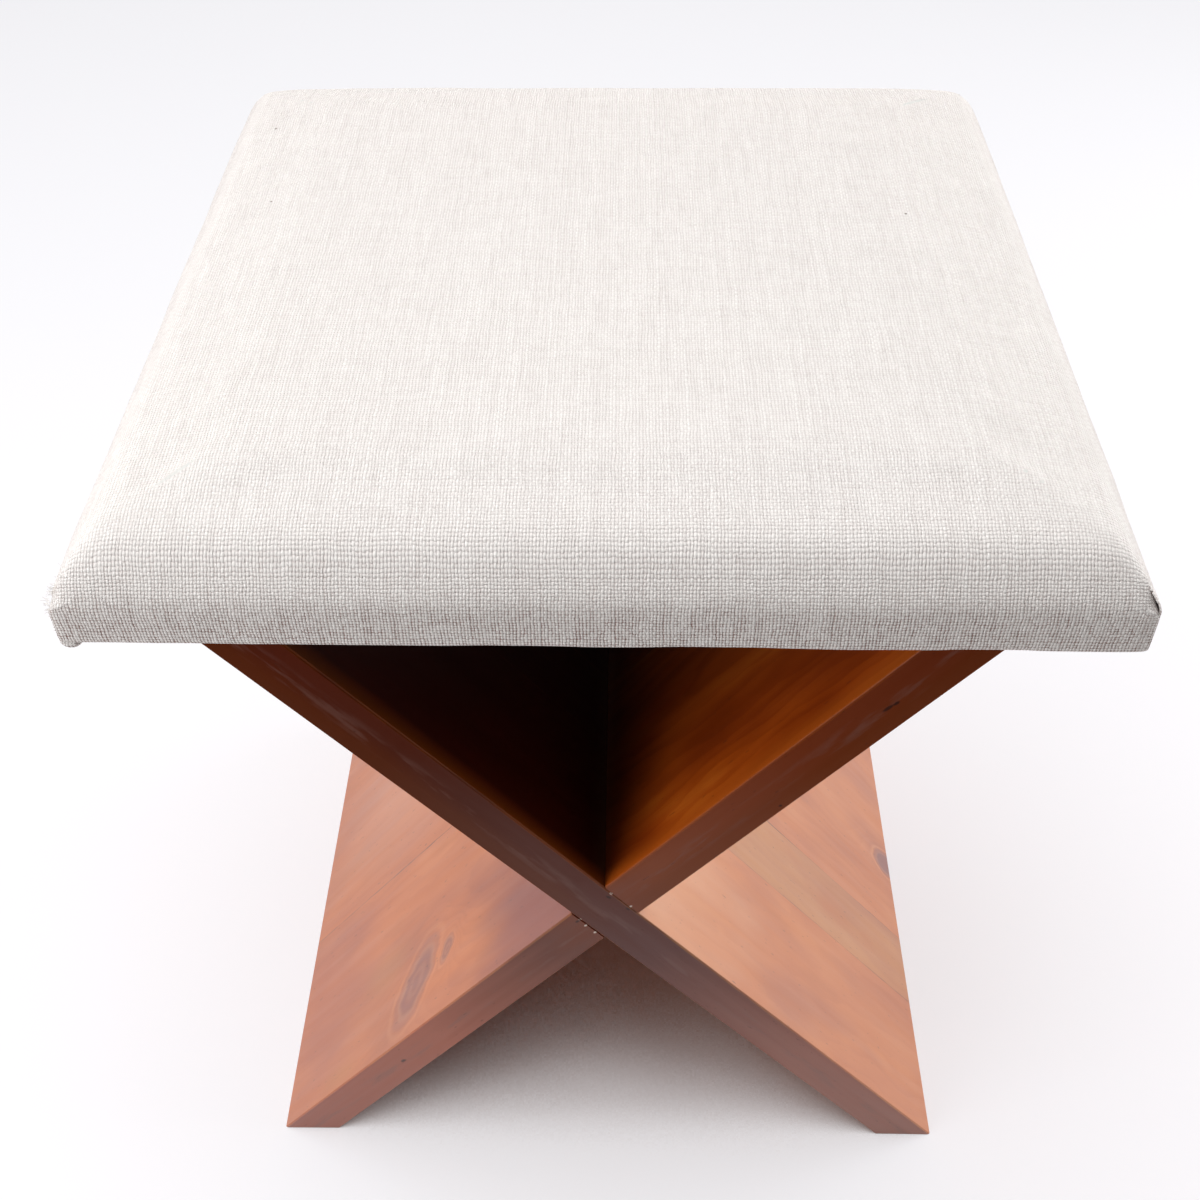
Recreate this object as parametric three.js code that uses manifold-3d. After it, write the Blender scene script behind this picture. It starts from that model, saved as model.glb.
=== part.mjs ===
// A low stool: two edge-glued wood panels, cross-lapped as an X, under an upholstered seat.
// Millimetres, +Z up, +X to the right and -Y to the front. The origin is on the floor under the middle.
import * as THREE from "three";
import { mergeVertices } from "three/addons/utils/BufferGeometryUtils.js";
import Module from "manifold-3d";

const wasm = await Module();
wasm.setup();

// Driving dimensions of the crossed frame
const frameHeight = 434; // floor to the underside of the seat
const footSpan = 371; // over the outer edges of the feet
const sideOverhang = 15; // the seat past the panels' tops
const endOverhang = 30; // the seat past the frame at the front and at the back
const panelThickness = 25;
const arris = 0.8; // easing of the panels' sawn edges
const lapClearance = 0.3; // between a slot and the panel in it, square to the panel's face

// Boards that each panel is glued up from. The rear one reaches forward past the middle of the depth,
// where the slots end, and the front one takes what is left.
const rearReachA = 27;
const middleBoardWidthA = 45;
const rearReachB = 34;

// Driving dimensions of the seat
const seatWidth = 380;
const seatDepth = 372;
const boardHeight = 18;
const edgeHeight = 40; // underside of the seat to the top of the rolled edge
const crown = 8; // rise of the middle above the rolled edge
const cornerDrop = 4; // how far the tight cloth pulls the corners down
const cornerRadius = 9;
const rollReach = 22; // how far the roll reaches in over the board

// Layers of the seat
const coverThickness = 1.2;
const waddingThickness = 3;
const dustCoverThickness = 0.5;
const layerClearance = 0.3; // between soft layers
const borderWidth = 45; // cloth turned under the board
const dustCoverMargin = 7; // from the seat's edge to the dust cover's
const lapWidth = 26; // width of a corner lap at the bottom
const lapTopWidth = 3;

// Cleats and screws
const cleatWidth = 40; // along the underside of the seat
const cleatHeight = 24;
const cleatSetback = 30; // from the frame's front and back
const screwDiameter = 4;
const screwHeadDiameter = 8;
const screwHeadHeight = 2.6;
const screwTipLength = 5;
const seatScrewLength = 36;
const panelScrewLength = 50;
const recessWidth = 1.1; // arms of the cross recess
const recessSpan = 4.4;
const recessDepth = 1.8;
const screwClearance = 0.3;

const overrun = 10; // how far a cutter runs past what it cuts

// Places along a cleat, as shares of its half length
const seatScrewShares = [-0.84, 0, 0.84];
const panelScrewShares = [-0.42, 0.42];

// Counts of facets
const wallSegments = 6;
const cornerSegments = 3;
const rollSegments = 5;
const topSegments = 6;
const screwSegments = 16;

// Worked out from the sizes above
const halfSeatWidth = seatWidth / 2;
const halfSeatDepth = seatDepth / 2;
const footEdge = footSpan / 2;
const topEdge = halfSeatWidth - sideOverhang;
const frameBack = halfSeatDepth - endOverhang;
const frameFront = -frameBack;
const spread = footEdge + topEdge;
const acrossAngle = Math.asin(panelThickness / Math.hypot(spread, frameHeight)); // turned by its thickness
const panelAngle = Math.atan2(frameHeight, spread) + acrossAngle;
const panelWidth = panelThickness / Math.sin(panelAngle); // measured level, as at the feet
const borderBottom = frameHeight + dustCoverThickness;
const boardBottom = borderBottom + coverThickness;
const boardTop = boardBottom + boardHeight;

// Colours and surfaces
const wood = { color: 0x8a4b2c, roughness: 0.38, metalness: 0 };
const greyWood = { color: 0x7a5740, roughness: 0.42, metalness: 0 };
const cleatWood = { color: 0xb58a5c, roughness: 0.7, metalness: 0 };
const plywood = { color: 0xc7a877, roughness: 0.8, metalness: 0 };
const foam = { color: 0xe8dfa8, roughness: 1, metalness: 0 };
const wadding = { color: 0xf4f2ee, roughness: 1, metalness: 0 };
const linen = { color: 0xe9e5de, roughness: 0.95, metalness: 0 };
const cambric = { color: 0x1c1c1e, roughness: 0.95, metalness: 0 };
const steel = { color: 0xb9a35e, roughness: 0.35, metalness: 1 };

const stool = new THREE.Group();

// A closed geometry as a solid that can be cut and joined
function solidFrom(geometry) {
  const bare = geometry.index ? geometry.toNonIndexed() : geometry.clone();
  bare.deleteAttribute("normal");
  bare.deleteAttribute("uv");
  const merged = mergeVertices(bare);
  return new wasm.Manifold(
    new wasm.Mesh({
      numProp: 3,
      vertProperties: merged.attributes.position.array,
      triVerts: new Uint32Array(merged.index.array),
    }),
  );
}

// A solid back as a geometry
function geometryFrom(solid) {
  const mesh = solid.getMesh();
  const geometry = new THREE.BufferGeometry();
  geometry.setAttribute("position", new THREE.BufferAttribute(mesh.vertProperties, 3));
  geometry.setIndex(new THREE.BufferAttribute(mesh.triVerts, 1));
  geometry.computeVertexNormals();
  return geometry;
}

function addPiece(name, solid, surface) {
  const mesh = new THREE.Mesh(geometryFrom(solid), new THREE.MeshStandardMaterial(surface));
  mesh.name = name;
  stool.add(mesh);
  return mesh;
}

// A block between two corners
function block(low, high) {
  const size = new THREE.Vector3().subVectors(high, low);
  const geometry = new THREE.BoxGeometry(size.x, size.y, size.z);
  geometry.translate((low.x + high.x) / 2, (low.y + high.y) / 2, (low.z + high.z) / 2);
  return solidFrom(geometry);
}

// An outline drawn from the front, as [x, z] points, run from a front plane back to a rear one
function prism(outline, front, back, easing = 0) {
  const shape = new THREE.Shape(outline.map(([x, z]) => new THREE.Vector2(x, z)));
  const geometry = new THREE.ExtrudeGeometry(shape, {
    depth: back - front - 2 * easing,
    bevelEnabled: easing > 0,
    bevelThickness: easing,
    bevelSize: easing,
    bevelOffset: -easing,
    bevelSegments: 1,
  });
  const fromFront = new THREE.Matrix4().makeBasis(
    new THREE.Vector3(1, 0, 0),
    new THREE.Vector3(0, 0, 1),
    new THREE.Vector3(0, -1, 0),
  );
  geometry.applyMatrix4(fromFront);
  geometry.translate(0, back - easing, 0);
  return solidFrom(geometry);
}

// The slanted outline of a panel: side 1 stands with its foot on the right, side -1 on the left.
// A margin widens it square to its faces, for the slot that takes it.
function panelOutline(side, margin = 0) {
  const level = margin / Math.sin(panelAngle);
  return [
    [side * (footEdge - panelWidth - level), 0],
    [side * (footEdge + level), 0],
    [side * (panelWidth - topEdge + level), frameHeight],
    [side * (-topEdge - level), frameHeight],
  ];
}

// A whole panel, with its half-depth slot for the other one between two planes
function slottedPanel(side, slotFront, slotBack) {
  const blank = prism(panelOutline(side), frameFront, frameBack, arris);
  const slot = prism(panelOutline(-side, lapClearance), slotFront, slotBack);
  return blank.subtract(slot);
}

// The stretch of a panel between two planes, as the pieces that the slot leaves
function boardsBetween(panel, front, back) {
  const reach = Math.max(footEdge, topEdge) + overrun;
  const low = new THREE.Vector3(-reach, front, -overrun);
  const high = new THREE.Vector3(reach, back, frameHeight + overrun);
  return panel.intersect(block(low, high)).decompose();
}

// The upper of two pieces first
function byHeight(pieces) {
  const middle = (piece) => piece.boundingBox().min[2] + piece.boundingBox().max[2];
  return [...pieces].sort((a, b) => middle(b) - middle(a));
}

// Panel A, upper left to lower right, is whole at the front and slotted from the back
function addPanelA() {
  const panel = slottedPanel(1, 0, frameBack + overrun);
  const secondJoint = -rearReachA;
  const firstJoint = secondJoint - middleBoardWidthA;
  const [front] = boardsBetween(panel, frameFront - overrun, firstJoint);
  const [middle] = boardsBetween(panel, firstJoint, secondJoint);
  const [rear] = boardsBetween(panel, secondJoint, frameBack + overrun);
  addPiece("panel_a_front_board", drilled(front), wood);
  addPiece("panel_a_middle_board", drilled(middle), greyWood);
  addPiece("panel_a_rear_board", drilled(rear), wood);
}

// Panel B, upper right to lower left, is slotted from the front, which cuts its front board in two
function addPanelB() {
  const panel = slottedPanel(-1, frameFront - overrun, 0);
  const joint = -rearReachB;
  const [upper, lower] = byHeight(boardsBetween(panel, frameFront - overrun, joint));
  const [rear] = boardsBetween(panel, joint, frameBack + overrun);
  addPiece("panel_b_front_board_upper", drilled(upper), wood);
  addPiece("panel_b_front_board_lower", lower, wood);
  addPiece("panel_b_rear_board", drilled(rear), wood);
}

// A countersunk wood screw along +Z, its head's flat face at the origin and facing down
function screwGeometry(length, margin = 0) {
  const headRadius = screwHeadDiameter / 2 + margin;
  const shankRadius = screwDiameter / 2 + margin;
  const end = length + margin;
  const profile = [
    [0, 0],
    [headRadius, 0],
    [shankRadius, screwHeadHeight],
    [shankRadius, end - screwTipLength],
    [0, end],
  ];
  const points = profile.map(([radius, along]) => new THREE.Vector2(radius, along));
  const geometry = new THREE.LatheGeometry(points, screwSegments);
  geometry.rotateX(Math.PI / 2);
  return geometry;
}

function screwSolid(length) {
  const arm = recessSpan / 2;
  const half = recessWidth / 2;
  const body = solidFrom(screwGeometry(length));
  const across = block(new THREE.Vector3(-arm, -half, -overrun), new THREE.Vector3(arm, half, recessDepth));
  const along = block(new THREE.Vector3(-half, -arm, -overrun), new THREE.Vector3(half, arm, recessDepth));
  return body.subtract(across.add(along));
}

// Where each screw of a cleat goes: its name, its place, its length and its turn from +Z
function screwPlaces(side) {
  const hand = side < 0 ? "left" : "right";
  const halfLength = frameBack - cleatSetback;
  const slope = cleatHeight / Math.tan(panelAngle);
  const outerTop = topEdge - panelWidth;
  const inner = outerTop - cleatWidth;
  const bottom = frameHeight - cleatHeight;
  const upX = (outerTop - slope + inner) / 2;
  const up = seatScrewShares.map((share, i) => ({
    name: `seat_screw_${hand}_${i + 1}`,
    place: new THREE.Vector3(side * upX, share * halfLength, bottom),
    length: seatScrewLength,
    turn: 0,
  }));
  const sideways = panelScrewShares.map((share, i) => ({
    name: `panel_screw_${hand}_${i + 1}`,
    place: new THREE.Vector3(side * inner, share * halfLength, (frameHeight + bottom) / 2),
    length: panelScrewLength,
    turn: (side * Math.PI) / 2,
  }));
  return [...up, ...sideways];
}

// The same placing for a screw and for the hole it sits in
function placed(geometry, screw) {
  const turn = new THREE.Matrix4().makeRotationY(screw.turn);
  return geometry.clone().applyMatrix4(turn).translate(screw.place.x, screw.place.y, screw.place.z);
}

const screws = [...screwPlaces(-1), ...screwPlaces(1)];

// A solid with the holes of every screw that reaches it
function drilled(solid) {
  return screws.reduce(
    (left, screw) => left.subtract(solidFrom(placed(screwGeometry(screw.length, screwClearance), screw))),
    solid,
  );
}

// A bevelled batten in the corner between a panel and the seat
function addCleat(side) {
  const level = lapClearance / Math.sin(panelAngle);
  const outerTop = topEdge - panelWidth;
  const inner = outerTop - cleatWidth;
  const bottom = frameHeight - cleatHeight;
  const outerBottom = outerTop - cleatHeight / Math.tan(panelAngle);
  const outline = [
    [side * inner, bottom],
    [side * (outerBottom - level), bottom],
    [side * (outerTop - level), frameHeight],
    [side * inner, frameHeight],
  ];
  const batten = prism(outline, frameFront + cleatSetback, frameBack - cleatSetback, arris);
  addPiece(side < 0 ? "cleat_left" : "cleat_right", drilled(batten), cleatWood);
}

function addScrews() {
  for (const screw of screws) {
    const mesh = addPiece(screw.name, screwSolid(screw.length), steel);
    mesh.position.copy(screw.place);
    mesh.rotation.y = screw.turn;
  }
}

// A rounded rectangle seen from above, always with the same count of points
function planOutline(halfWidth, halfDepth, radius) {
  const quarters = [
    [1, 1],
    [-1, 1],
    [-1, -1],
    [1, -1],
  ];
  const corners = quarters.map(([sideX, sideY], quarter) => {
    const centre = new THREE.Vector2(sideX * (halfWidth - radius), sideY * (halfDepth - radius));
    return Array.from({ length: cornerSegments + 1 }, (_, i) => {
      const angle = ((quarter + i / cornerSegments) * Math.PI) / 2;
      return new THREE.Vector2(Math.cos(angle), Math.sin(angle)).multiplyScalar(radius).add(centre);
    });
  });
  return corners.flatMap((corner, quarter) => {
    const start = corner[cornerSegments];
    const end = corners[(quarter + 1) % quarters.length][0];
    const wall = Array.from({ length: wallSegments - 1 }, (_, i) =>
      new THREE.Vector2().lerpVectors(start, end, (i + 1) / wallSegments),
    );
    return [...corner, ...wall];
  });
}

// Rings of points, lowest first, skinned into a closed form between two middle points
function skinned(rings, bottomMiddle, topMiddle) {
  const count = rings[0].length;
  const points = [...rings.flat(), bottomMiddle, topMiddle];
  const bottom = points.length - 2;
  const top = points.length - 1;
  const last = (rings.length - 1) * count;
  const index = [];
  for (let i = 0; i < count; i++) {
    const next = (i + 1) % count;
    index.push(bottom, next, i);
    index.push(top, last + i, last + next);
    for (let row = 0; row < last; row += count) {
      index.push(row + i, row + next, row + count + next);
      index.push(row + i, row + count + next, row + count + i);
    }
  }
  const geometry = new THREE.BufferGeometry().setFromPoints(points);
  geometry.setIndex(index);
  return geometry;
}

// The upholstered form: straight up past the board's edge, rolled over the pad's edge, crowned in the middle
// and drawn down at the corners. An inset draws the whole form in, for each layer under the cover.
function seatForm(inset, base) {
  const halfWidth = halfSeatWidth - inset;
  const halfDepth = halfSeatDepth - inset;
  const reach = rollReach - inset;
  const rise = frameHeight + edgeHeight - inset - boardTop;
  const crownWidth = halfWidth - reach;
  const crownDepth = halfDepth - reach;

  function lift(point, share) {
    const dome = Math.max(0, 1 - (point.x / crownWidth) ** 2) * Math.max(0, 1 - (point.y / crownDepth) ** 2);
    const pull = (point.x / halfWidth) ** 4 * (point.y / halfDepth) ** 4;
    return boardTop + share * (rise - cornerDrop * pull) + crown * dome;
  }

  const rolls = Array.from({ length: rollSegments + 1 }, (_, i) => {
    const angle = ((i / rollSegments) * Math.PI) / 2;
    const offset = reach * (1 - Math.cos(angle));
    const outline = planOutline(halfWidth - offset, halfDepth - offset, cornerRadius - inset + offset / 2);
    return outline.map((p) => new THREE.Vector3(p.x, p.y, lift(p, Math.sin(angle))));
  });
  const walls = base < boardTop ? [rolls[0].map((p) => new THREE.Vector3(p.x, p.y, base))] : [];
  const edge = rolls[rollSegments];
  const tops = Array.from({ length: topSegments - 1 }, (_, i) => {
    const share = 1 - (i + 1) / topSegments;
    return edge.map((p) => {
      const point = new THREE.Vector2(p.x, p.y).multiplyScalar(share);
      return new THREE.Vector3(point.x, point.y, lift(point, 1));
    });
  });
  const middle = new THREE.Vector2(0, 0);
  const top = new THREE.Vector3(0, 0, lift(middle, 1));
  return solidFrom(skinned([...walls, ...rolls, ...tops], new THREE.Vector3(0, 0, base), top));
}

// The seat board, with its edges square and its corners rounded to follow the cover
function addSeatBoard() {
  const inset = coverThickness + layerClearance;
  const outline = planOutline(halfSeatWidth - inset, halfSeatDepth - inset, cornerRadius - inset);
  const shape = new THREE.Shape(outline);
  const geometry = new THREE.ExtrudeGeometry(shape, { depth: boardHeight, bevelEnabled: false });
  geometry.translate(0, 0, boardBottom);
  addPiece("seat_board", drilled(solidFrom(geometry)), plywood);
}

function addPadding() {
  const waddingInset = coverThickness + layerClearance;
  const hollowInset = waddingInset + waddingThickness;
  const hollow = seatForm(hollowInset, boardTop - overrun);
  addPiece("wadding", seatForm(waddingInset, boardTop).subtract(hollow), wadding);
  addPiece("foam_pad", seatForm(hollowInset + layerClearance, boardTop), foam);
}

// A folded corner's spare cloth, laid back along the side of the seat and narrowing upwards
function cornerLap(sideX, sideY) {
  const start = halfSeatDepth - cornerRadius;
  const outline = [
    [sideY * start, borderBottom],
    [sideY * (start - lapWidth), borderBottom],
    [sideY * (start - lapTopWidth), boardTop],
    [sideY * start, boardTop],
  ];
  const inner = halfSeatWidth - coverThickness / 2;
  const outer = halfSeatWidth + coverThickness;
  const shape = new THREE.Shape(outline.map(([y, z]) => new THREE.Vector2(y, z)));
  const geometry = new THREE.ExtrudeGeometry(shape, { depth: outer - inner, bevelEnabled: false });
  const fromSide = new THREE.Matrix4().makeBasis(
    new THREE.Vector3(0, 1, 0),
    new THREE.Vector3(0, 0, 1),
    new THREE.Vector3(1, 0, 0),
  );
  geometry.applyMatrix4(fromSide);
  geometry.translate(sideX > 0 ? inner : -outer, 0, 0);
  return solidFrom(geometry);
}

// The cover: a shell over the padding and the board's edge, with its border turned under the board
function addCover() {
  const shell = seatForm(0, borderBottom).subtract(seatForm(coverThickness, boardBottom));
  const openWidth = halfSeatWidth - borderWidth;
  const openDepth = halfSeatDepth - borderWidth;
  const opening = block(
    new THREE.Vector3(-openWidth, -openDepth, borderBottom - overrun),
    new THREE.Vector3(openWidth, openDepth, boardTop),
  );
  let cover = shell.subtract(opening);
  for (const sideX of [-1, 1]) {
    for (const sideY of [-1, 1]) cover = cover.add(cornerLap(sideX, sideY));
  }
  addPiece("seat_cover", drilled(cover), linen);
}

function addDustCover() {
  const width = halfSeatWidth - dustCoverMargin;
  const depth = halfSeatDepth - dustCoverMargin;
  const sheet = block(
    new THREE.Vector3(-width, -depth, frameHeight),
    new THREE.Vector3(width, depth, borderBottom),
  );
  addPiece("dust_cover", drilled(sheet), cambric);
}

addPanelA();
addPanelB();
addCleat(-1);
addCleat(1);
addScrews();
addSeatBoard();
addPadding();
addCover();
addDustCover();

export default stool;
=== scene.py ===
import math
import random

import bmesh
import bpy
from mathutils import Matrix, Vector, kdtree, noise


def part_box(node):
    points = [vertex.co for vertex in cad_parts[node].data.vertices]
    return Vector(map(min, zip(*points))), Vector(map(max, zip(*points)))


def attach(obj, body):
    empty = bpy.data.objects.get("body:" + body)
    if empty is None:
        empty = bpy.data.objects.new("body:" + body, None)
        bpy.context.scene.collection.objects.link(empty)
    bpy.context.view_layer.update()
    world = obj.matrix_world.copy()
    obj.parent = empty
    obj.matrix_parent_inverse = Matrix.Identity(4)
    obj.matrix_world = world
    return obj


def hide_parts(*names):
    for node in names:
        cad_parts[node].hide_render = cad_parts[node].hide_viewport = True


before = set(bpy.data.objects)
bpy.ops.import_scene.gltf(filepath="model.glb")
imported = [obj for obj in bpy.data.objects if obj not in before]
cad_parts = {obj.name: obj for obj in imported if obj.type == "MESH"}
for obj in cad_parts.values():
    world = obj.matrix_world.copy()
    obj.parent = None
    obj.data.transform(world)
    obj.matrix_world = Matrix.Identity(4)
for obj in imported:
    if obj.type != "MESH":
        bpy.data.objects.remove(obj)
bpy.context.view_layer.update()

# The view
# Taken standing close in front of the stool and looking steeply down on it, so the seat fills the upper half
# of the picture and the crossed panels show below its front edge.

picture_px = 1200
focal_px = 1426
near_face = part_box("panel_a_front_board")[0].y
eye = Vector((0.0072, near_face - 0.3718, 0.7941))
look_down = math.radians(44.48)
look_aside = math.radians(-1.24)
lean = math.radians(-0.57)

ahead = Vector(
    (
        math.sin(look_aside) * math.cos(look_down),
        math.cos(look_aside) * math.cos(look_down),
        -math.sin(look_down),
    )
)
level_right = Vector((math.cos(look_aside), -math.sin(look_aside), 0))
square_up = level_right.cross(ahead)
right = math.cos(lean) * level_right + math.sin(lean) * square_up
upward = -math.sin(lean) * level_right + math.cos(lean) * square_up

scene = bpy.context.scene
viewer = bpy.data.objects.new("viewer", bpy.data.cameras.new("viewer"))
viewer.data.sensor_width = 36
viewer.data.lens = viewer.data.sensor_width * focal_px / picture_px
viewer.data.clip_start = 0.01
viewer.matrix_world = Matrix.Translation(eye) @ Matrix((right, upward, -ahead)).transposed().to_4x4()
scene.collection.objects.link(viewer)
scene.camera = viewer


# The crossed panels
# Two panels of knotty softwood, each edge-glued from sawn boards with the grain running up the leg, then
# cross-lapped and glued. They are stained red-brown under a satin lacquer, both worn thin along the edges.

mm = 0.001
MATH = "ShaderNodeMath"
MIX = "ShaderNodeMix"
RANGE = "ShaderNodeMapRange"
SMOOTH = {"interpolation_type": "SMOOTHSTEP"}
BLEND = {"out": 2, "data_type": "RGBA"}


def linear(hex_colour):
    """An sRGB colour such as "8a4b2c" as the linear RGBA that a shader takes."""
    shares = [int(hex_colour[i : i + 2], 16) / 255 for i in (0, 2, 4)]
    return [s / 12.92 if s <= 0.04045 else ((s + 0.055) / 1.055) ** 2.4 for s in shares] + [1.0]


def add(tree, kind, *values, out=0, sockets=None, **settings):
    """Adds a node with its settings, sets or links its inputs by place or name, and returns one output."""
    node = tree.nodes.new(kind)
    for name, value in settings.items():
        setattr(node, name, value)
    for socket, value in [*enumerate(values), *(sockets or {}).items()]:
        if isinstance(value, bpy.types.NodeSocket):
            tree.links.new(value, node.inputs[socket])
        else:
            node.inputs[socket].default_value = value
    return node.outputs[out] if node.outputs else None


def new_material(name):
    made = bpy.data.materials.new(name)
    made.use_nodes = True
    made.node_tree.nodes.clear()
    return made, made.node_tree


def give(node, material):
    """Puts a material on a CAD node in place of the plain one it came with."""
    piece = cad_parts[node]
    piece.data.materials.clear()
    piece.data.materials.append(material)


front_low, front_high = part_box("panel_a_front_board")
frame_front = front_low.y
frame_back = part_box("panel_a_rear_board")[1].y
frame_depth_mm = (frame_back - frame_front) / mm
frame_height = front_high.z
foot_edge = front_high.x
panel_thickness = 25 * mm
panel_spread = foot_edge - front_low.x
panel_angle = math.atan2(frame_height, panel_spread) + math.asin(
    panel_thickness / math.hypot(panel_spread, frame_height)
)
leg_length_mm = frame_height / math.sin(panel_angle) / mm
crossing_mm = 290

# Noise drawn out along the grain: its length and width in millimetres, and its detail
figures = {
    "wander": (170, 60, 2),
    "ripple": (60, 20, 3),
    "fibre": (34, 0.8, 4),
    "streak": (130, 6, 3),
    "cloud": (80, 34, 2),
    "amber": (60, 22, 2),
    "mauve": (120, 40, 2),
    "wear": (26, 4, 4),
    "chips": (9, 2, 4),
    "fleck": (5, 1.2, 1),
    "wobble": (15, 9, 2),
}
ring_mm = 6.5
wander_mm = 44
ragged_mm = (7, -4)


def on_board(side, x_mm, z_mm):
    """A point on a panel's front edge as millimetres up the leg and over the outer face."""
    out_mm = foot_edge / mm - side * x_mm
    along = out_mm * math.cos(panel_angle) + z_mm * math.sin(panel_angle)
    return along, z_mm * math.cos(panel_angle) - out_mm * math.sin(panel_angle)


def stained_board(name, side, stops, painted_shading, heart, seed, knots, patches, joints, spots):
    """Satin-lacquered, stained softwood, solid through: rings round a pith off the board, under soft streaks.
    The argument after stops holds the colours of painted shade on the V's inner faces, the painted lighter
    colour at the V's front, and the colours of the narrow faces: stain, with painted sheen near the foot and
    painted shade towards the seat. heart is the pith's (depth, height, tilt). A knot is (up the leg, depth,
    length, width, turn, strength), a patch (up the leg, depth, length, width, colour, strength) of stain, or
    of painted shade where its list says so, a joint (depth, width) and a spot on the front edge (up the leg,
    height, length, width, colour, strength), in millimetres and degrees."""
    material, tree = new_material(name)
    v_shade_stops, v_mouth_light, edge_stain_and_shade = painted_shading

    # Board millimetres: x up the leg from the foot's tip, y back from the front, z over the outer face
    place = add(tree, "ShaderNodeTexCoord", out=3)
    tip = (
        foot_edge * math.cos(panel_angle) / mm,
        -frame_front / mm,
        -foot_edge * math.sin(panel_angle) / mm,
    )
    slant = (0, panel_angle, 0)
    board = add(tree, "ShaderNodeMapping", place, tip, slant, (-side / mm, 1 / mm, 1 / mm))
    along, depth, height = add(tree, "ShaderNodeSeparateXYZ", board).node.outputs
    figure = {}
    for number, (pattern, (length, width, detail)) in enumerate(figures.items()):
        shift = (seed + number, 2 * seed - number, 3 * seed)
        drawn = add(tree, "ShaderNodeMapping", board, shift, (0, 0, 0), (1 / length, 1 / width, 1 / width))
        figure[pattern] = add(tree, "ShaderNodeTexNoise", drawn, sockets={"Scale": 1, "Detail": detail})

    heart_depth, heart_height, heart_tilt = heart
    sideways = add(tree, MATH, figure["wander"], wander_mm, depth, operation="MULTIPLY_ADD")
    sideways = add(tree, MATH, sideways, heart_depth + wander_mm / 2, operation="SUBTRACT")
    above = add(tree, MATH, along, heart_tilt, height, operation="MULTIPLY_ADD")
    above = add(tree, MATH, above, heart_height, operation="SUBTRACT")
    from_heart = add(tree, "ShaderNodeCombineXYZ", 0.0, sideways, above)
    rings = add(tree, "ShaderNodeVectorMath", from_heart, out=1, operation="LENGTH")
    rings = add(tree, MATH, figure["ripple"], 2.5 * ring_mm, rings, operation="MULTIPLY_ADD")

    # A knot pushes the rings aside
    aways = []
    for at_along, at_depth, length, width, turned, strength in knots:
        ragged_along = add(tree, MATH, figure["wobble"], ragged_mm[0], along, operation="MULTIPLY_ADD")
        ragged_across = add(tree, MATH, figure["wobble"], ragged_mm[1], depth, operation="MULTIPLY_ADD")
        across = add(tree, "ShaderNodeCombineXYZ", ragged_along, ragged_across, 0.0)
        middle = (at_along + ragged_mm[0] / 2, at_depth + ragged_mm[1] / 2, 0)
        half_size = (length / 2, width / 2, 1)
        turn = (0, 0, math.radians(turned))
        across = add(tree, "ShaderNodeMapping", across, middle, turn, half_size, vector_type="TEXTURE")
        away = add(tree, "ShaderNodeVectorMath", across, out=1, operation="LENGTH")
        push = add(tree, MATH, away, away, operation="MULTIPLY")
        push = add(tree, MATH, push, -0.25, operation="MULTIPLY")
        push = add(tree, MATH, push, operation="EXPONENT")
        rings = add(tree, MATH, push, 4 * ring_mm, rings, operation="MULTIPLY_ADD")
        aways.append((away, strength))

    phase = add(tree, MATH, rings, 1 / ring_mm, operation="MULTIPLY")
    phase = add(tree, MATH, phase, operation="FRACT")
    growing = add(tree, RANGE, phase, 0.25, 0.9, 0.0, 1.0, **SMOOTH)
    ending = add(tree, RANGE, phase, 0.9, 1.0, 1.0, 0.0, **SMOOTH)
    late = add(tree, MATH, growing, ending, operation="MULTIPLY")

    tone = add(tree, MATH, late, -0.06, 0.03, operation="MULTIPLY_ADD")
    for pattern, weight in (("fibre", 0.1), ("streak", 0.07), ("cloud", 0.75)):
        centred = add(tree, MATH, figure[pattern], 0.5, operation="SUBTRACT")
        tone = add(tree, MATH, centred, weight, tone, operation="MULTIPLY_ADD")
    tone = add(tree, MATH, tone, 0.5, operation="ADD")
    edge_tone = add(tree, MATH, along, 1 / leg_length_mm, operation="MULTIPLY")
    edge_tone = add(tree, MATH, figure["streak"], 0.08, edge_tone, operation="MULTIPLY_ADD")
    colours = []
    for factor, band in ((tone, stops), (tone, v_shade_stops), (edge_tone, edge_stain_and_shade)):
        ramp = add(tree, "ShaderNodeValToRGB", factor)
        places = ramp.node.color_ramp.elements
        for place, hex_colour in band[1:-1]:
            places.new(place).color = linear(hex_colour)
        places[0].position, places[0].color = band[0][0], linear(band[0][1])
        places[len(band) - 1].position, places[len(band) - 1].color = band[-1][0], linear(band[-1][1])
        colours.append(ramp)

    half_mm = panel_thickness / mm / 2
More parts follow.
